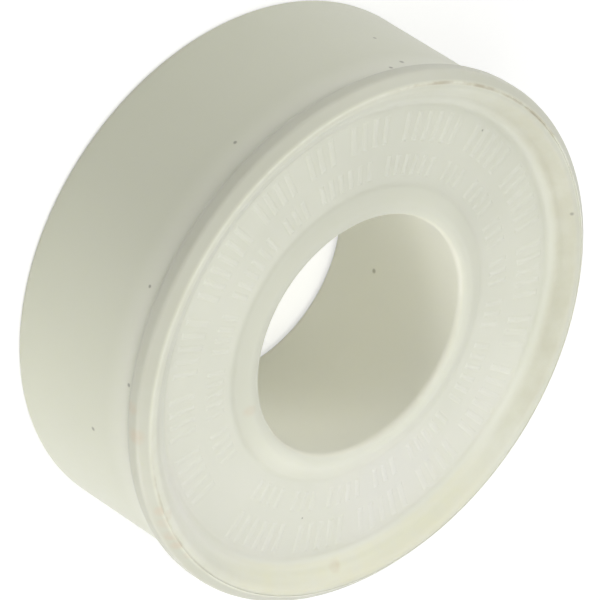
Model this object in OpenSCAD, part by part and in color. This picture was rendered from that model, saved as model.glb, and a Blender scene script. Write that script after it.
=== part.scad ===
// Roll of thread seal tape: a flanged spool in a cup-shaped cover, with the wound film between them.
// It lies on the cover's end, axis along +Z and flange on top. All lengths are in millimetres.

/* [Roll] */
// Width of the film, which sets the width of the roll
tape_width = 12; // [10:0.5:19]
// Outer radius of the roll at its rim bead
rim_radius = 23.8; // [22:0.1:30]
// Radius of the bore that runs right through the spool
bore_radius = 10.7; // [8:0.05:13]

/* [Rim bead of the cover] */
// How far the bead stands out past the cover's wall
rim_overhang = 0.8; // [0.6:0.05:1]
// How far below the crown the bead's sloping front ends and its straight side starts
bead_shoulder = 1.05; // [0.9:0.05:1.3]
// How far below the crown the bead's straight side ends and its sloping back starts
bead_side = 1.7; // [1.5:0.05:1.9]
// Radius of the bead's two rounded edges
bead_round = 0.5; // [0.3:0.05:0.6]
// Radial distance from the rim to the seam between cover and flange
seam_inset = 0.85; // [0.8:0.05:1]
// How far the flange's seat lies below the crown
seat_drop = 2.2; // [2:0.05:2.4]

/* [Flange] */
// Width of the rounded ridge along the flange's edge
ridge_width = 0.9; // [0.7:0.05:1.1]
// How far the ridge stays below the crown of the bead
ridge_drop = 0.05; // [0:0.05:0.2]
// Radial run of the slope from the ridge down to the ledge
ridge_slope = 0.55; // [0.4:0.05:0.8]
// How far the ledge inside the ridge lies below the crown
ledge_drop = 0.9; // [0.7:0.05:1.1]
// Radial width of the ledge
ledge_width = 0.3; // [0.1:0.05:0.6]
// Radial run of the slope from the ledge down to the flat face
face_slope = 0.7; // [0.4:0.05:1]
// How far the flat face lies below the crown
face_drop = 1.6; // [1.4:0.05:1.8]
// Thickness of the flange's web under the face
web_thickness = 1.35; // [1:0.05:1.6]

/* [Collar] */
// Radial width of the raised collar around the bore
collar_width = 2.4; // [2.2:0.05:2.8]
// Radial run of the collar's outer slope
collar_slope = 1.3; // [1:0.05:1.5]
// Height of the collar above the flat face
collar_rise = 0.65; // [0.4:0.05:0.8]
// Radius of the collar's rounded inner edge
bore_round = 0.7; // [0.4:0.05:0.7]

/* [Hub] */
// Wall thickness of the hub tube
hub_wall = 1.2; // [0.9:0.1:1.5]
// How far the hub's end stays inside the cover's end face
hub_recess = 0.3; // [0.1:0.1:0.8]
// Radius of the rounded bore edge at the hub's far end
hub_end_round = 0.5; // [0.2:0.05:0.6]

/* [Cover] */
// Thickness of the cover's cylindrical wall
cover_wall = 1; // [0.8:0.05:1.2]
// Thickness of the cover's end
cover_end = 1.2; // [1:0.1:1.5]
// Radius of the cover's far outer edge
cover_round = 0.5; // [0.3:0.05:0.8]

/* [Tape] */
// Thickness that stands for the loose outer lap
lap_thickness = 0.3; // [0.2:0.05:0.4]
// Angle left open between the two ends of the outer lap
lap_opening = 30; // [15:5:60]

/* [Clearances] */
// Radial clearance of the flange's edge and spigot in the cover's mouth
fit_clearance = 0.1; // [0.05:0.01:0.1]
// Radial clearance of the wound film on the hub
hub_clearance = 0.05; // [0.02:0.01:0.1]
// Radial clearance between the hub and the hole in the cover's end
end_clearance = 0.3; // [0.3:0.05:0.6]
// Free space at each edge of the film
tape_end_gap = 0.5; // [0.3:0.05:0.8]
// Free space between the outer lap and the cover's wall
film_gap = 2.15; // [0.5:0.05:4]

/* [Hidden] */
$fn = 128;
arc_steps = 5;
edge_break = 0.15;
pack_z = cover_end + tape_end_gap;
pack_top = pack_z + tape_width;
web_z = pack_top + tape_end_gap;
face_z = web_z + web_thickness;
crown_z = face_z + face_drop;
seat_z = crown_z - seat_drop;
ridge_z = crown_z - ridge_drop;
ledge_z = crown_z - ledge_drop;
collar_z = face_z + collar_rise;
cover_radius = rim_radius - rim_overhang;
cover_inner = cover_radius - cover_wall;
seam_radius = rim_radius - seam_inset;
lip_radius = seam_radius + edge_break;
bead_slant = 45;
back_reach = rim_overhang - bead_round * (1 - cos(bead_slant));
bead_z = crown_z - bead_side - bead_round * sin(bead_slant) - back_reach;
disc_radius = seam_radius - fit_clearance;
spigot_radius = cover_inner - fit_clearance;
ridge_round = ridge_width / 2;
ridge_lean = 130;
ledge_outer = disc_radius - ridge_width - ridge_slope;
ledge_inner = ledge_outer - ledge_width;
face_outer = ledge_inner - face_slope;
collar_outer = bore_radius + collar_width;
collar_top = collar_outer - collar_slope;
hub_radius = bore_radius + hub_wall;
hub_round = min(hub_end_round, hub_wall - edge_break);
end_hole = hub_radius + end_clearance;
pack_inner = hub_radius + hub_clearance;
lap_outer = cover_inner - film_gap;
pack_outer = lap_outer - lap_thickness;
film_thickness = 0.075;
film_metres = PI * (pow(pack_outer, 2) - pow(pack_inner, 2)) / film_thickness / 1000;
lap_sweep = 360 - lap_opening;
lap_middle = (pack_outer + lap_outer) / 2;
lap_steps = 72;
lap_turns = [for (i = [0 : lap_steps]) lap_sweep * i / lap_steps];
lap_points = [for (turn = lap_turns) lap_middle * [cos(turn), sin(turn)]];
lap_gap = norm(lap_points[lap_steps] - lap_points[0]);
echo("least gap of the outer lap to itself, mm", lap_gap);
echo("width of the roll, mm", crown_z);
echo("film on the hub, m", film_metres);

// Points of an arc about (x, z), both ends included
function arc(x, z, radius, from, to) =
  [for (i = [0 : arc_steps]) arc_point(x, z, radius, from + (to - from) * i / arc_steps)];

// One point of an arc about (x, z)
function arc_point(x, z, radius, angle) = [x + radius * cos(angle), z + radius * sin(angle)];

cover_profile = concat(
  [[end_hole + edge_break, 0]],
  arc(cover_radius - cover_round, cover_round, cover_round, -90, 0),
  [[cover_radius, bead_z]],
  arc(rim_radius - bead_round, crown_z - bead_side, bead_round, -bead_slant, 0),
  arc(rim_radius - bead_round, crown_z - bead_shoulder, bead_round, 0, bead_slant),
  [[lip_radius, crown_z]],
  [[seam_radius, crown_z - edge_break]],
  [[seam_radius, seat_z]],
  [[cover_inner, seat_z]],
  arc(cover_inner - cover_round, cover_end + cover_round, cover_round, 0, -90),
  [[end_hole + edge_break, cover_end]],
  [[end_hole, cover_end - edge_break]],
  [[end_hole, edge_break]]
);

spool_profile = concat(
  arc(bore_radius + hub_round, hub_recess + hub_round, hub_round, 180, 270),
  [[hub_radius - edge_break, hub_recess]],
  [[hub_radius, hub_recess + edge_break]],
  [[hub_radius, web_z]],
  [[spigot_radius - edge_break, web_z]],
  [[spigot_radius, web_z + edge_break]],
  [[spigot_radius, seat_z]],
  [[disc_radius, seat_z]],
  arc(disc_radius - ridge_round, ridge_z - ridge_round, ridge_round, 0, ridge_lean),
  [[ledge_outer, ledge_z]],
  [[ledge_inner, ledge_z]],
  [[face_outer, face_z]],
  [[collar_outer, face_z]],
  [[collar_top, collar_z]],
  arc(bore_radius + bore_round, collar_z - bore_round, bore_round, 90, 180)
);

// Cup with a smooth wall, a thick bead around its mouth and a hole in its end that the hub reaches into
module cover() {
  color([0.86, 0.87, 0.81])
    rotate_extrude()
      polygon(cover_profile);
}

// Hub tube and flange, moulded in one piece
module spool() {
  color([0.88, 0.89, 0.83])
    rotate_extrude()
      polygon(spool_profile);
}

// Wound film, all its laps but the outer one
module tape_pack() {
  color([0.95, 0.95, 0.94])
    translate([0, 0, pack_z])
      difference() {
        cylinder(r = pack_outer, h = pack_top - pack_z);
        translate([0, 0, -1])
          cylinder(r = pack_inner, h = pack_top - pack_z + 2);
      }
}

// Outer lap of the film with its free end
module tape_lap() {
  color([0.97, 0.97, 0.96])
    translate([0, 0, pack_z])
      rotate_extrude(angle = lap_sweep)
        translate([pack_outer, 0])
          square([lap_thickness, pack_top - pack_z]);
}

cover();
spool();
tape_pack();
tape_lap();
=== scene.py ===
"""Thread seal tape roll lying on its cover's end, dressed for the render. Lengths are in millimetres."""
import math
import random

import bpy
from mathutils import Matrix, Vector
from mathutils.geometry import delaunay_2d_cdt


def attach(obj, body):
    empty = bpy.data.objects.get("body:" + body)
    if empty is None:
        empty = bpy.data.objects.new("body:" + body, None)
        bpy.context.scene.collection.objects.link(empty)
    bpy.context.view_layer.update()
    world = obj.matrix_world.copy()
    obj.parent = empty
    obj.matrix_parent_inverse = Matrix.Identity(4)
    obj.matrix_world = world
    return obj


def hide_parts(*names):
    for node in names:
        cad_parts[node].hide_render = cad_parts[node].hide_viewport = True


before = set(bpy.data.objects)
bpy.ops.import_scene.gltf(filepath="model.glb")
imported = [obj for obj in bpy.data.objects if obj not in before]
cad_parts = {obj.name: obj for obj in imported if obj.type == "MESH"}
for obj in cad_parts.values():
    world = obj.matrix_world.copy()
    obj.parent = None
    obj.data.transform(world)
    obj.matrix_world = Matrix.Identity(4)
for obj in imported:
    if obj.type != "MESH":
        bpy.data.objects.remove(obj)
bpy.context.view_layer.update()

MM = 0.001
TURN = 2 * math.pi
SEGMENTS = 240

# Sizes of the roll, as in the part's source
CROWN_Z = 17.15
RIM_RADIUS = 23.8
BEAD_SHOULDER = 1.05
BEAD_SIDE = 1.7
COVER_RADIUS = 23.0
COVER_INNER = 22.0
COVER_END = 1.2
COVER_ROUND = 0.5
COVER_HOLE = 12.2
SEAT_Z = 14.95
SPIGOT_RADIUS = 21.9
FACE_DROP = 1.6
FACE_Z = CROWN_Z - FACE_DROP
WEB_Z = 14.2
COLLAR_DROP = 0.95
BORE_RADIUS = 10.7
BORE_ROUND = 0.7
HUB_RADIUS = 11.9
HUB_Z = 0.3
HUB_ROUND = 0.5
PACK_INNER = 11.95
PACK_OUTER = 19.55
PACK_Z = 1.7
PACK_TOP = 13.7
PACK_WIDTH = PACK_TOP - PACK_Z
EDGE_BREAK = 0.15

# The seam between cover and flange, nearly closed
MOUTH_RADIUS = 22.90
DISC_RADIUS = 22.89
LIP_ROUND = 0.04


# Mesh tools

SHORTEST_RUN = 1e-6


def arc(x, z, radius, start, end, steps=6):
    """Points of an arc about (x, z), angles in degrees, both ends included."""
    turns = [math.radians(start + (end - start) * i / steps) for i in range(steps + 1)]
    return [(x + radius * math.cos(a), z + radius * math.sin(a)) for a in turns]


def supported(points, inset=0.06, longest=3.0):
    """Open outline with points close to the ends of each long run, so flats shade flat, and with cuts."""
    out = []
    for (r0, z0), (r1, z1) in zip(points, points[1:]):
        run = math.hypot(r1 - r0, z1 - z0)
        if run < SHORTEST_RUN:
            continue
        stops = [0.0]
        if run > 4 * inset:
            cuts = int(run // longest)
            stops += [inset / run] + [(k + 1) / (cuts + 1) for k in range(cuts)] + [1 - inset / run]
        out += [(r0 + (r1 - r0) * t, z0 + (z1 - z0) * t) for t in stops]
    return out + points[-1:]


def mesh_object(name, verts, faces, flat_faces=0):
    """Smooth mesh from points in millimetres; the last flat_faces of its faces stay flat."""
    mesh = bpy.data.meshes.new(name)
    mesh.from_pydata([tuple(MM * c for c in v) for v in verts], [], faces)
    smooth = len(faces) - flat_faces
    mesh.polygons.foreach_set("use_smooth", [True] * smooth + [False] * flat_faces)
    mesh.update()
    obj = bpy.data.objects.new(name, mesh)
    bpy.context.scene.collection.objects.link(obj)
    return obj


def turned(outline, segments, closed=True):
    """Points and faces of an anticlockwise outline of (radius, height) points, turned about the axis."""
    count = len(outline)
    turns = [TURN * k / segments for k in range(segments)]
    verts = [(r * math.cos(a), r * math.sin(a), z) for a in turns for r, z in outline]
    faces = []
    for k in range(segments):
        here, there = k * count, (k + 1) % segments * count
        for i in range(count if closed else count - 1):
            j = (i + 1) % count
            faces.append((here + i, there + i, there + j, here + j))
    return verts, faces


def dress(obj, material, body, node):
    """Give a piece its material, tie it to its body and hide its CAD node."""
    obj.data.materials.append(material)
    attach(obj, body)
    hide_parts(node)


# Node tools

SPECK_CORE = 0.3


class Tree:
    """Short ways to add shader nodes and join them."""

    def __init__(self, name):
        self.material = bpy.data.materials.new(name)
        self.material.use_nodes = True
        self.tree = self.material.node_tree
        self.tree.nodes.clear()
        self.out = self.tree.nodes.new("ShaderNodeOutputMaterial")

    def add(self, kind, inputs=None, **settings):
        node = self.tree.nodes.new(kind)
        for key, value in settings.items():
            setattr(node, key, value)
        for key, value in (inputs or {}).items():
            self.put(node.inputs[key], value)
        return node

    def put(self, socket, value):
        if isinstance(value, bpy.types.NodeSocket):
            self.tree.links.new(value, socket)
        elif isinstance(value, bpy.types.Node):
            self.tree.links.new(value.outputs[0], socket)
        else:
            socket.default_value = value

    def math(self, operation, a, b=0.0):
        return self.add("ShaderNodeMath", {0: a, 1: b}, operation=operation).outputs[0]

    def times(self, *factors):
        total = factors[0]
        for factor in factors[1:]:
            total = self.math("MULTIPLY", total, factor)
        return total

    def ramp(self, value, low, high, to_low=0.0, to_high=1.0):
        keys = {"Value": value, "From Min": low, "From Max": high, "To Min": to_low, "To Max": to_high}
        return self.add("ShaderNodeMapRange", keys, interpolation_type="SMOOTHSTEP").outputs[0]

    def rise(self, value, low, high, to_low=0.0, to_high=1.0):
        """Ramp between two lengths in millimetres."""
        return self.ramp(value, low * MM, high * MM, to_low, to_high)

    def noise(self, vector, scale, detail=2.0, rough=0.5):
        keys = {"Vector": vector, "Scale": scale, "Detail": detail, "Roughness": rough}
        return self.add("ShaderNodeTexNoise", keys).outputs[0]

    def mix(self, factor, a, b):
        node = self.add("ShaderNodeMix", data_type="RGBA")
        self.put(node.inputs[0], factor)
        self.put(node.inputs[6], a)
        self.put(node.inputs[7], b)
        return node.outputs[2]

    def place(self):
        """Object coordinates with the height, the radius from the roll's axis and the angle about it."""
        spot = self.add("ShaderNodeTexCoord").outputs["Object"]
        parts = self.add("ShaderNodeSeparateXYZ", {0: spot}).outputs
        flat = self.add("ShaderNodeCombineXYZ", {0: parts[0], 1: parts[1]})
        radius = self.add("ShaderNodeVectorMath", {0: flat}, operation="LENGTH").outputs["Value"]
        angle = self.math("ARCTAN2", parts[1], parts[0])
        return spot, parts[2], radius, angle

    def distance(self, value, centre):
        """How far a value in metres is from a centre in millimetres."""
        return self.math("ABSOLUTE", self.math("SUBTRACT", value, centre * MM))

    def band(self, value, centre, half, soft):
        """1 within half of centre, falling to 0 over soft, all in millimetres."""
        return self.rise(self.distance(value, centre), half + soft, half)

    def sector(self, angle, centre, half, soft):
        """1 within half degrees of centre, falling to 0 over soft degrees."""
        away = self.math("COSINE", self.math("SUBTRACT", angle, math.radians(centre)))
        return self.ramp(away, math.cos(math.radians(half + soft)), math.cos(math.radians(half)))

    def specks(self, spot, marks):
        """Mask of small round marks, each (angle, radius, height, size)."""
        total = 0.0
        for angle, radius, height, size in marks:
            keys = {0: spot, 1: tuple(MM * c for c in on_roll(angle, radius, height))}
            away = self.add("ShaderNodeVectorMath", keys, operation="DISTANCE").outputs["Value"]
            total = self.math("MAXIMUM", self.rise(away, size, SPECK_CORE * size), total)
        return total


def colour(r, g, b):
    return (r, g, b, 1.0)


def on_roll(angle, radius, height):
    """Point of the roll from its angle in degrees, radius and height."""
    turn = math.radians(angle)
    return (radius * math.cos(turn), radius * math.sin(turn), height)


# Camera at the photograph's angle: the roll's axis points to the right, down and towards the viewer

PIXELS = 600.0
FOCAL = 9000.0
AXIS_AT = (369.8, 341.29)
AXIS_TILT = math.radians(49.58)
AXIS_TURN = math.radians(32.65)
PIXELS_PER_MM = 12.312
SENSOR = 36.0
NEAREST = 50.0
FARTHEST = 100000.0


def make_camera():
    sin_t, cos_t = math.sin(AXIS_TILT), math.cos(AXIS_TILT)
    sin_p, cos_p = math.sin(AXIS_TURN), math.cos(AXIS_TURN)
    axis = Vector((sin_t * cos_p, sin_t * sin_p, -cos_t))
    back = Vector((cos_t * cos_p, cos_t * sin_p, sin_t))
    side = back.cross(axis)
    view_to_world = Matrix((side, back, axis))
    depth = FOCAL / PIXELS_PER_MM
    half = (PIXELS - 1) / 2
    crown = Vector(((AXIS_AT[0] - half) / PIXELS_PER_MM, (AXIS_AT[1] - half) / PIXELS_PER_MM, depth))
    place = Vector((0, 0, CROWN_Z)) - view_to_world @ crown
    flip = Matrix(((1, 0, 0), (0, -1, 0), (0, 0, -1)))
    data = bpy.data.cameras.new("camera")
    data.sensor_fit = "HORIZONTAL"
    data.sensor_width = SENSOR
    data.lens = SENSOR * FOCAL / PIXELS
    data.clip_start = NEAREST * MM
    data.clip_end = FARTHEST * MM
    obj = bpy.data.objects.new("camera", data)
    obj.matrix_world = Matrix.Translation(place * MM) @ (view_to_world @ flip).to_4x4()
    bpy.context.scene.collection.objects.link(obj)
    bpy.context.scene.camera = obj


# Stage: pale floor and soft light

WHITE = colour(1.0, 1.0, 1.0)
FLOOR_SPAN = 9000.0
FLOOR_TONE = colour(0.62, 0.62, 0.61)
FLOOR_GLOW = 0.56
WORLD_LEVEL = 0.327
WORLD_SEEN = 1.0
LAMP_AIM = (0, 0, 8)
# Square lamps, as name, place, size and power
LAMPS = [
    ("lamp_front", (60, -230, 480), 400, 0.94),
    ("lamp_left", (420, 60, 260), 300, 0.50),
    ("lamp_left_low", (420, -20, 90), 160, 0.40),
    ("lamp_right", (-420, 40, 300), 300, 0.78),
]


def make_floor():
    t = Tree("floor_paper")
    rays = t.add("ShaderNodeLightPath").outputs
    seen = t.math("MAXIMUM", rays["Is Camera Ray"], rays["Is Glossy Ray"])
    seen = t.math("MAXIMUM", seen, rays["Is Transmission Ray"])
    paper = t.add("ShaderNodeBsdfDiffuse", {"Color": FLOOR_TONE})
    light = t.add("ShaderNodeEmission", {"Color": WHITE, "Strength": t.times(seen, FLOOR_GLOW)})
    t.put(t.out.inputs["Surface"], t.add("ShaderNodeAddShader", {0: paper, 1: light}))
    corners = [(-1, -1), (1, -1), (1, 1), (-1, 1)]
    verts = [(FLOOR_SPAN * x, FLOOR_SPAN * y, 0) for x, y in corners]
    floor = mesh_object("floor", verts, [(0, 1, 2, 3)], 1)
    floor.data.materials.append(t.material)


def make_world():
    world = bpy.data.worlds.new("studio")
    world.use_nodes = True
    tree = world.node_tree
    rays = tree.nodes.new("ShaderNodeLightPath")
    back = tree.nodes["Background"]
    back.inputs["Color"].default_value = WHITE
    level = tree.nodes.new("ShaderNodeMapRange")
    level.inputs["To Min"].default_value = WORLD_LEVEL
    level.inputs["To Max"].default_value = WORLD_SEEN
    tree.links.new(rays.outputs["Is Camera Ray"], level.inputs["Value"])
    tree.links.new(level.outputs[0], back.inputs["Strength"])
    bpy.context.scene.world = world


def make_lamp(name, place, size, power):
    data = bpy.data.lights.new(name, "AREA")
    data.shape = "SQUARE"
    data.size = size * MM
    data.energy = power
    obj = bpy.data.objects.new(name, data)
    obj.location = Vector(place) * MM
    obj.rotation_euler = (Vector(LAMP_AIM) - Vector(place)).to_track_quat("-Z", "Y").to_euler()
    bpy.context.scene.collection.objects.link(obj)


make_camera()
make_floor()
make_world()
for lamp in LAMPS:
    make_lamp(*lamp)


# Tones of the plastic, and the painted light and shade on it

# First tone is the painted shade end of the roll, second the painted light end; mottles mix them too
COVER_TONES = (colour(0.822, 0.832, 0.692), colour(0.852, 0.862, 0.722))
SPOOL_TONES = (colour(0.768, 0.776, 0.672), colour(0.950, 0.959, 0.828))
# Painted light: a lighter, warmer tone inside the bore
BORE_PAINTED_LIGHT = colour(0.980, 0.975, 0.815)
# Painted light on the cover's wall under the bead, against the bead's shadow
UNDER_BEAD_PAINTED_LIGHT = colour(0.950, 0.960, 0.820)
# Painted shade on the outside of the bead
BEAD_PAINTED_SHADE = colour(0.728, 0.734, 0.628)
# Painted shade on the collar's near side
COLLAR_PAINTED_SHADE = colour(0.750, 0.757, 0.652)
YELLOWED = colour(0.700, 0.690, 0.550)
CREAM = colour(0.955, 0.930, 0.700)
GRIME = colour(0.36, 0.27, 0.15)
STAIN = colour(0.74, 0.63, 0.49)
SPECK = colour(0.20, 0.19, 0.14)

# Painted light: the plastic's first tone changes to its second, lighter one across the roll, towards this
# angle; the two tones also mix in mottles
PAINTED_LIGHT_ANGLE = math.radians(28)
PAINTED_LIGHT_SPAN = 20.0
PAINTED_LIGHT_SHARE = 0.75
MOTTLE_SHARE = 0.25

# Scales of the broad mottles, the patches of dirt and the fine skin
MOTTLE_SCALE = 90.0
MOTTLE_RUN = (0.3, 0.7)
PATCH_SCALE = 420.0
SKIN_SCALE = 1500.0
NOISE_DETAIL = 3.0
NOISE_ROUGH = 0.6

# Places of the tones: runs as (from, to), bands as (centre, half, soft) and sectors the same in degrees
# Painted light inside the bore
BORE_LIGHT_RUN = (11.0, 10.75)
# Painted light on the wall under the bead
UNDER_BEAD_LIGHT_HEIGHTS = (11.0, 14.2)
UNDER_BEAD_LIGHT_BAND = (23.0, 0.1, 0.3)
UNDER_BEAD_LIGHT_SHARE = 0.8
# Painted shade on the bead
BEAD_SHADE_RUN = (22.9, 23.2)
BEAD_SHADE_HEIGHTS = (13.8, 14.6)
# Painted shade on the collar's near side
COLLAR_SHADE_BAND = (12.2, 0.9, 0.6)
COLLAR_SHADE_SECTOR = (-90.0, 40.0, 60.0)
COLLAR_SHADE_HEIGHTS = (13.0, 15.0)
COLLAR_SHADE_SHARE = 0.9
EDGE_RUN = (20.9, 22.3)
EDGE_HEIGHTS = (13.5, 15.8)
LOWER_RIM_BAND = (21.7, 0.8, 0.5)
LOWER_RIM_SECTOR = (42.0, 22.0, 25.0)
GROOVE_BAND = (21.6, 0.5, 0.5)
GROOVE_SECTOR = (138.0, 28.0, 34.0)
SEAM_BAND = (MOUTH_RADIUS, 0.05, 0.16)
SEAM_HEIGHTS = (15.8, 16.6)
UPPER_DIRT = (190.0, 18.0, 14.0)
LOWER_DIRT = (-22.0, 10.0, 12.0)
LOWER_DIRT_SHARE = 0.5
SPECK_SHARE = 0.55

# How much of a tone shows in the patches: from and to of the patch noise, then least and most share
EDGE_PATCHES = (0.2, 0.8, 0.05, 0.3)
LOWER_RIM_PATCHES = (0.2, 0.8, 0.3, 0.7)
GROOVE_PATCHES = (0.25, 0.75, 0.4, 0.8)
DIRT_PATCHES = (0.35, 0.65, 0.05, 0.45)
STAIN_PATCHES = (0.3, 0.7, 0.15, 0.6)

# Finish of the plastic's skin
SKIN_ROUGHNESS = (0.25, 0.75, 0.40, 0.52)
SKIN_FINE_SHARE = 0.25
SKIN_PATCH_SHARE = 0.75
SKIN_BUMP = 0.10
BUMP_DEPTH = 0.08
PLASTIC_IOR = 1.5

# How deep light goes into the plastic, and how deep at the seam and in the bore, with the runs between them
DEPTH = 1.2
DEPTH_AT_SEAM = 0.1
DEPTH_IN_BORE = 0.25
DEPTH_SEAM_RUN = (0.1, 1.2)
DEPTH_BORE_RUN = (10.8, 12.6)

# Dark specks, as (angle about the axis in degrees, radius, height, size)
WALL_SPECKS = [
    (-109.2, 23.0, 12.3, 0.22), (-75.5, 23.0, 13.4, 0.20), (-54.6, 23.0, 14.1, 0.24),
    (-38.7, 23.0, 9.6, 0.26), (-155.5, 23.0, 8.2, 0.22), (-147.8, 23.05, 13.7, 0.26),
    (-152.3, 23.05, 13.0, 0.30), (38.0, 23.0, 6.4, 0.22), (112.0, 23.0, 10.8, 0.24),
    (71.0, 23.0, 3.9, 0.18),
]
SPOOL_SPECKS = [
    (118.5, 10.7, 5.5, 0.28), (143.6, 22.2, 16.9, 0.26), (-178.3, 19.4, 15.5, 0.16),
    (24.0, 16.6, 15.5, 0.14),
]
# Brown and cream stains, in the same form
COVER_STAINS = [
    (-27.0, 23.1, 17.0, 0.8), (-23.3, 23.1, 17.0, 0.9), (-19.5, 23.1, 17.0, 0.9), (-16.0, 23.1, 17.0, 0.8),
    (-12.0, 23.0, 17.1, 0.7), (-52.0, 23.7, 15.6, 0.9), (-46.0, 23.6, 16.2, 1.0),
]
SPOOL_STAINS = [(-34.2, 12.1, 16.2, 0.8), (36.5, 21.4, 16.2, 0.8), (-25.0, 22.6, 17.0, 0.7)]


def base_tone(t, tones, spot, radius, angle):
    """Tone made lighter across the roll as painted light, with faint mottling, and painted light inside the
    bore.
    """
    along = t.times(t.math("COSINE", t.math("SUBTRACT", angle, PAINTED_LIGHT_ANGLE)), radius)
    # Painted light: lighter towards PAINTED_LIGHT_ANGLE
    painted_light = t.times(t.rise(along, -PAINTED_LIGHT_SPAN, PAINTED_LIGHT_SPAN), PAINTED_LIGHT_SHARE)
    mottle = t.times(t.ramp(t.noise(spot, MOTTLE_SCALE, NOISE_DETAIL), *MOTTLE_RUN), MOTTLE_SHARE)
    tone = t.mix(t.math("ADD", painted_light, mottle), *tones)
    # Painted light: lighter, warmer tone inside the bore
    return t.mix(t.rise(radius, *BORE_LIGHT_RUN), tone, BORE_PAINTED_LIGHT)


def painted_light_and_shade(t, tone, height, radius, angle):
    """Painted light on the wall under the bead, and painted shade on the bead and on the collar's near
    side.
    """
    # Painted light under the bead
    under = t.times(t.rise(height, *UNDER_BEAD_LIGHT_HEIGHTS), t.band(radius, *UNDER_BEAD_LIGHT_BAND))
    tone = t.mix(t.times(under, UNDER_BEAD_LIGHT_SHARE), tone, UNDER_BEAD_PAINTED_LIGHT)
    # Painted shade on the bead
    bead = t.times(t.rise(radius, *BEAD_SHADE_RUN), t.rise(height, *BEAD_SHADE_HEIGHTS))
    tone = t.mix(bead, tone, BEAD_PAINTED_SHADE)
    # Painted shade on the collar's near side
    collar = t.times(t.band(radius, *COLLAR_SHADE_BAND), t.sector(angle, *COLLAR_SHADE_SECTOR))
    collar = t.times(collar, t.rise(height, *COLLAR_SHADE_HEIGHTS), COLLAR_SHADE_SHARE)
    return t.mix(collar, tone, COLLAR_PAINTED_SHADE)


def aged_tone(t, tone, patchy, height, radius, angle):
    """Yellowed and creamy rim, and dirt in the seam."""
    edge = t.times(t.rise(radius, *EDGE_RUN), t.rise(height, *EDGE_HEIGHTS))
    tone = t.mix(t.times(edge, t.ramp(patchy, *EDGE_PATCHES)), tone, YELLOWED)
    lower_rim = t.times(t.band(radius, *LOWER_RIM_BAND), t.sector(angle, *LOWER_RIM_SECTOR))
    tone = t.mix(t.times(lower_rim, t.ramp(patchy, *LOWER_RIM_PATCHES)), tone, CREAM)
    groove = t.times(t.band(radius, *GROOVE_BAND), t.sector(angle, *GROOVE_SECTOR))
    tone = t.mix(t.times(groove, t.ramp(patchy, *GROOVE_PATCHES)), tone, YELLOWED)

    seam = t.times(t.band(radius, *SEAM_BAND), t.rise(height, *SEAM_HEIGHTS))
    lower = t.times(t.sector(angle, *LOWER_DIRT), LOWER_DIRT_SHARE)
    where = t.math("MAXIMUM", t.sector(angle, *UPPER_DIRT), lower)
    return t.mix(t.times(seam, where, t.ramp(patchy, *DIRT_PATCHES)), tone, GRIME)


def moulded(name, tones, specks, stains):
    """Off-white moulded plastic with painted light and shade, a fine skin, a yellowed rim, a dirty seam,
    specks and stains.
    """
    t = Tree(name)
    spot, height, radius, angle = t.place()
    fine = t.noise(spot, SKIN_SCALE, NOISE_DETAIL, NOISE_ROUGH)
    patchy = t.noise(spot, PATCH_SCALE, NOISE_DETAIL, NOISE_ROUGH)
    tone = base_tone(t, tones, spot, radius, angle)
    tone = painted_light_and_shade(t, tone, height, radius, angle)
    tone = aged_tone(t, tone, patchy, height, radius, angle)
    tone = t.mix(t.times(t.specks(spot, stains), t.ramp(patchy, *STAIN_PATCHES)), tone, STAIN)
    tone = t.mix(t.times(t.specks(spot, specks), SPECK_SHARE), tone, SPECK)

    shader = t.add("ShaderNodeBsdfPrincipled")
    t.put(shader.inputs["Base Color"], tone)
    t.put(shader.inputs["Roughness"], t.ramp(fine, *SKIN_ROUGHNESS))
    skin = t.math("ADD", t.times(fine, SKIN_FINE_SHARE), t.times(patchy, SKIN_PATCH_SHARE))
    bump = t.add("ShaderNodeBump", {"Strength": SKIN_BUMP, "Distance": BUMP_DEPTH * MM, "Height": skin})
    t.put(shader.inputs["Normal"], bump)
    shader.inputs["IOR"].default_value = PLASTIC_IOR
    shader.inputs["Subsurface Weight"].default_value = 1.0
    shader.inputs["Subsurface Radius"].default_value = (1.0, 1.0, 1.0)
    off_seam = t.distance(radius, MOUTH_RADIUS)
    at_seam = t.rise(off_seam, *DEPTH_SEAM_RUN, DEPTH_AT_SEAM * MM, DEPTH * MM)
    in_bore = t.rise(radius, *DEPTH_BORE_RUN, DEPTH_IN_BORE * MM, DEPTH * MM)
    t.put(shader.inputs["Subsurface Scale"], t.math("MINIMUM", at_seam, in_bore))
    t.put(t.out.inputs["Surface"], shader)
    return t.material


# Film material: how the streaks run along the film's length, then its tones and finish

FILM_TONES = (colour(0.80, 0.80, 0.785), colour(0.90, 0.90, 0.89))
STREAK_ALONG = 0.6
STREAK_ACROSS = 900.0
STREAK_LAPS = 1400.0
STREAK_SCALE = 3.0
STREAK_DETAIL = 4.0
FILM_ROUGHNESS = (0.3, 0.7, 0.42, 0.60)
FILM_BUMP = 0.25


def film():
    """Soft white film with streaks along its length."""
    t = Tree("white_film")
    _, height, radius, angle = t.place()
    runs = (t.times(angle, STREAK_ALONG), t.times(height, STREAK_ACROSS), t.times(radius, STREAK_LAPS))
    along = t.add("ShaderNodeCombineXYZ", dict(enumerate(runs)))
    streak = t.noise(along, STREAK_SCALE, STREAK_DETAIL, NOISE_ROUGH)
    shader = t.add("ShaderNodeBsdfPrincipled")
    t.put(shader.inputs["Base Color"], t.mix(streak, *FILM_TONES))
    t.put(shader.inputs["Roughness"], t.ramp(streak, *FILM_ROUGHNESS))
    crease = t.add("ShaderNodeBump", {"Strength": FILM_BUMP, "Distance": BUMP_DEPTH * MM, "Height": streak})
    t.put(shader.inputs["Normal"], crease)
    t.put(t.out.inputs["Surface"], shader)
    return t.material


white_film = film()


# Cover: cup with a beaded mouth, whose front and back slope away from its side

BACK_ROUND = 0.6
SHOULDER_ROUND = 0.55
SLANT = 45


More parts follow.
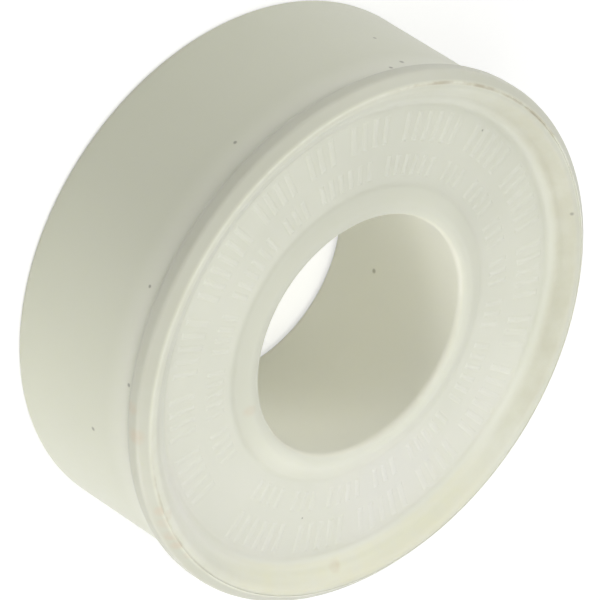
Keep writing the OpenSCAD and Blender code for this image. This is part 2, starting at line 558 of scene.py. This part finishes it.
def make_cover():
    reach = RIM_RADIUS - COVER_RADIUS - 2 * BACK_ROUND * (1 - math.cos(math.radians(SLANT)))
    back_z = CROWN_Z - BEAD_SIDE - reach - 2 * BACK_ROUND * math.sin(math.radians(SLANT))
    start = [(COVER_HOLE + EDGE_BREAK, 0.0)]
    outline = (
        start
        + arc(COVER_RADIUS - COVER_ROUND, COVER_ROUND, COVER_ROUND, -90, 0, 8)
        + arc(COVER_RADIUS + BACK_ROUND, back_z, BACK_ROUND, 180, 180 - SLANT, 8)
        + arc(RIM_RADIUS - BACK_ROUND, CROWN_Z - BEAD_SIDE, BACK_ROUND, -SLANT, 0, 8)
        + arc(RIM_RADIUS - SHOULDER_ROUND, CROWN_Z - BEAD_SHOULDER, SHOULDER_ROUND, 0, SLANT, 8)
        + arc(MOUTH_RADIUS + LIP_ROUND, CROWN_Z - LIP_ROUND, LIP_ROUND, SLANT, 180, 12)
        + [(MOUTH_RADIUS, SEAT_Z)]
        + arc(COVER_INNER + EDGE_BREAK, SEAT_Z - EDGE_BREAK, EDGE_BREAK, 90, 180, 3)
        + arc(COVER_INNER - COVER_ROUND, COVER_END + COVER_ROUND, COVER_ROUND, 0, -90)
        + arc(COVER_HOLE + EDGE_BREAK, COVER_END - EDGE_BREAK, EDGE_BREAK, 90, 180, 3)
        + arc(COVER_HOLE + EDGE_BREAK, EDGE_BREAK, EDGE_BREAK, 180, 270, 3)[:-1]
    )
    cover = mesh_object("cover_shell", *turned(supported(outline + start)[:-1], SEGMENTS))
    plastic = moulded("cover_plastic_with_painted_shading", COVER_TONES, WALL_SPECKS, COVER_STAINS)
    dress(cover, plastic, "cover", "cover")


make_cover()


# Spool: hub tube and flange in one moulding

# Relief of the flange as (radius, drop below the crown): seam, ridge, ledge, flat face, collar
RELIEF = [
    (23.2, 0.05), (22.3, 0.02), (21.35, 0.88), (21.1, 0.92), (20.35, FACE_DROP),
    (13.2, FACE_DROP), (11.8, COLLAR_DROP), (11.0, COLLAR_DROP),
]
RELIEF_SOFT = 0.2
RELIEF_STEP = 0.1
RELIEF_TAPS = 8
FACE_OUTER = 20.1
FACE_INNER = 13.5


def relief_drop(radius):
    for (r0, d0), (r1, d1) in zip(RELIEF, RELIEF[1:]):
        if radius >= r1:
            return d0 + (d1 - d0) * (radius - r0) / (r1 - r0)
    return RELIEF[-1][1]


def relief(start, end):
    """Points of the softened relief from one radius in to another."""
    count = round((start - end) / RELIEF_STEP)
    shifts = [RELIEF_SOFT * k / RELIEF_TAPS for k in range(-RELIEF_TAPS, RELIEF_TAPS + 1)]
    out = []
    for i in range(count + 1):
        radius = start + (end - start) * i / count
        drop = sum(relief_drop(radius + shift) for shift in shifts) / len(shifts)
        out.append((radius, CROWN_Z - drop))
    return out


# Plain raised bars on the flat face, in two rows of (inner radius, outer radius, bar width)
BAR_ROWS = [(17.1, 19.8, 0.62), (14.1, 16.0, 0.54)]
BAR_RISE = 0.05
BAR_SLOPE = 0.18
# Distance from bar to bar in bar widths, bars in a group, and bars left out before a row closes
BAR_PITCH = 1.7
BAR_GROUP = (3, 6)
BAR_REST = 8
BAR_SEED = 12
WELD = 1e-5


def bar_places():
    """Angle, inner radius, outer radius and width of each bar, in short even groups with gaps between."""
    rng = random.Random(BAR_SEED)
    out = []
    for inner, outer, width in BAR_ROWS:
        step = BAR_PITCH * width / inner
        turn = 0.0
        while turn <= TURN - BAR_REST * step:
            for _ in range(rng.randint(*BAR_GROUP)):
                out.append((turn, inner, outer, width))
                turn += step
            turn += step
    return out


def bar_corners(turn, inner, outer, width, height):
    along = Vector((math.cos(turn), math.sin(turn)))
    across = Vector((-along.y, along.x)) * width / 2
    flat = [along * inner - across, along * outer - across, along * outer + across, along * inner + across]
    return [(p.x, p.y, height) for p in flat]


def face_mesh(outer_ring, inner_ring):
    """Points of the raised bars, and triangles that fill the face between two rings around them."""
    rings = [outer_ring, inner_ring]
    for turn, inner, outer, width in bar_places():
        rings.append(bar_corners(turn, inner, outer, width, FACE_Z))
        top = (inner + BAR_SLOPE, outer - BAR_SLOPE, width - 2 * BAR_SLOPE)
        rings.append(bar_corners(turn, *top, FACE_Z + BAR_RISE))
    points, edges = [], []
    for ring in rings:
        start = len(points)
        edges += [(start + i, start + (i + 1) % len(ring)) for i in range(len(ring))]
        points += ring
    found = delaunay_2d_cdt([Vector(p[:2]) for p in points], edges, [], 0, WELD)
    source = [ids[0] for ids in found[3]]
    hole = set(range(len(outer_ring), len(outer_ring) + len(inner_ring)))
    triangles = [[source[v] for v in face] for face in found[2]]
    return points, [f for f in triangles if not hole.issuperset(f)]


def make_spool():
    outline = supported(
        relief(FACE_INNER, BORE_RADIUS + BORE_ROUND)
        + arc(BORE_RADIUS + BORE_ROUND, CROWN_Z - COLLAR_DROP - BORE_ROUND, BORE_ROUND, 90, 180, 10)
        + arc(BORE_RADIUS + HUB_ROUND, HUB_Z + HUB_ROUND, HUB_ROUND, 180, 270, 8)
        + arc(HUB_RADIUS - EDGE_BREAK, HUB_Z + EDGE_BREAK, EDGE_BREAK, -90, 0, 3)
        + [(HUB_RADIUS, WEB_Z)]
        + arc(SPIGOT_RADIUS - EDGE_BREAK, WEB_Z + EDGE_BREAK, EDGE_BREAK, -90, 0, 3)
        + [(SPIGOT_RADIUS, SEAT_Z)]
        + arc(DISC_RADIUS - EDGE_BREAK, SEAT_Z + EDGE_BREAK, EDGE_BREAK, -90, 0, 3)
        + relief(DISC_RADIUS, FACE_OUTER)
    )
    verts, faces = turned(outline, SEGMENTS, closed=False)
    count = len(outline)
    outer_ids = [k * count + count - 1 for k in range(SEGMENTS)]
    inner_ids = [k * count for k in range(SEGMENTS)]
    points, triangles = face_mesh([verts[i] for i in outer_ids], [verts[i] for i in inner_ids])
    ids = outer_ids + inner_ids
    ids += range(len(verts), len(verts) + len(points) - len(ids))
    verts += points[2 * SEGMENTS:]
    faces += [tuple(ids[v] for v in face) for face in triangles]
    spool = mesh_object("spool_body", verts, faces, len(triangles))
    plastic = moulded("spool_plastic_with_painted_shading", SPOOL_TONES, SPOOL_SPECKS, SPOOL_STAINS)
    dress(spool, plastic, "spool", "spool")


make_spool()


# Film: wound pack with uneven laps, and the loose outer lap with its free end

PACK_LAPS = 46
PACK_SEGMENTS = 180
PACK_SEED = 4
PACK_SIDE_CUTS = 8
PACK_HUB_CUTS = 4
LAP_UNEVEN = 0.10
# Start and end of a lap's edge within its share of the radius
LAP_FROM = 0.12
LAP_TO = 0.88


def make_pack():
    """Wound film, whose edges step up and down from lap to lap."""
    rng = random.Random(PACK_SEED)
    step = (PACK_OUTER - PACK_INNER) / PACK_LAPS
    low, high = [], []
    for k in range(PACK_LAPS):
        r = PACK_INNER + k * step
        down = PACK_Z + rng.uniform(0.0, LAP_UNEVEN)
        up = PACK_TOP - rng.uniform(0.0, LAP_UNEVEN)
        low += [(r + LAP_FROM * step, down), (r + LAP_TO * step, down)]
        high += [(r + LAP_FROM * step, up), (r + LAP_TO * step, up)]
    low[0] = (PACK_INNER, low[0][1])
    high[0] = (PACK_INNER, high[0][1])
    low[-1] = (PACK_OUTER, low[-1][1])
    high[-1] = (PACK_OUTER, high[-1][1])
    side = [(PACK_OUTER, PACK_Z + PACK_WIDTH * k / PACK_SIDE_CUTS) for k in range(1, PACK_SIDE_CUTS)]
    hub = [(PACK_INNER, PACK_TOP - PACK_WIDTH * k / PACK_HUB_CUTS) for k in range(1, PACK_HUB_CUTS)]
    pack = mesh_object("film_pack", *turned(low + side + high[::-1] + hub, PACK_SEGMENTS))
    dress(pack, white_film, "tape", "tape_pack")


make_pack()

LAP_SWEEP = math.radians(330)
LAP_THICK = 0.08
LAP_COLUMNS = 330
LAP_ROWS = 13
LAP_EDGE_GAP = 0.06
LAP_SEED = 9
# Looseness of the lap: its least lift off the pack, and slow waves by their count and size
LAP_LIFT = 0.03
WAVE_COUNTS = (3, 5, 9, 14)
WAVE_SIZES = (0.01, 0.03)
# The free end: the share of the sweep where it starts to lift and to lean, and how much it does
END_LIFT_FROM = 0.93
END_LIFT = 0.06
END_LEAN_FROM = 0.97
END_LEAN = 0.005
# Ripples along the two edges of the film
RIPPLE = 0.03
RIPPLE_COUNT = 31
RIPPLE_POWER = 6


def lap_points():
    """Points of a film strip of one open lap, a little loose, with its free end lifting off."""
    rng = random.Random(LAP_SEED)
    waves = [(rng.uniform(0, TURN), rng.uniform(*WAVE_SIZES), k) for k in WAVE_COUNTS]
    verts = []
    for c in range(LAP_COLUMNS + 1):
        t = c / LAP_COLUMNS
        turn = LAP_SWEEP * t
        lift = LAP_LIFT + sum(size * (1 + math.sin(start + k * turn)) for start, size, k in waves) / 2
        lift += END_LIFT * max(0.0, (t - END_LIFT_FROM) / (1 - END_LIFT_FROM)) ** 2
        for side in (0, 1):
            for i in range(LAP_ROWS):
                h = i / (LAP_ROWS - 1)
                edge = RIPPLE * abs(2 * h - 1) ** RIPPLE_POWER * math.sin(RIPPLE_COUNT * turn + 2 * h)
                lean = END_LEAN * (h - 0.5) * max(0.0, (t - END_LEAN_FROM) / (1 - END_LEAN_FROM))
                r = PACK_OUTER + lift + abs(edge) / 2 + side * LAP_THICK
                z = PACK_Z + LAP_EDGE_GAP + (PACK_WIDTH - 2 * LAP_EDGE_GAP) * h
                verts.append((r * math.cos(turn + lean), r * math.sin(turn + lean), z))
    return verts


def make_lap():
    rows, top, ring = LAP_ROWS, LAP_ROWS - 1, 2 * LAP_ROWS
    end = LAP_COLUMNS * ring
    faces = []
    for c in range(LAP_COLUMNS):
        here, there = c * ring, (c + 1) * ring
        for i in range(top):
            faces.append((here + i, here + i + 1, there + i + 1, there + i))
            faces.append((here + rows + i, there + rows + i, there + rows + i + 1, here + rows + i + 1))
        faces.append((here, there, there + rows, here + rows))
        faces.append((here + top, here + rows + top, there + rows + top, there + top))
    for i in range(top):
        faces.append((i, rows + i, rows + i + 1, i + 1))
        faces.append((end + i, end + i + 1, end + rows + i + 1, end + rows + i))
    lap = mesh_object("film_lap", lap_points(), faces)
    dress(lap, white_film, "tape", "tape_lap")


make_lap()


bpy.context.scene.view_settings.view_transform = "Standard"
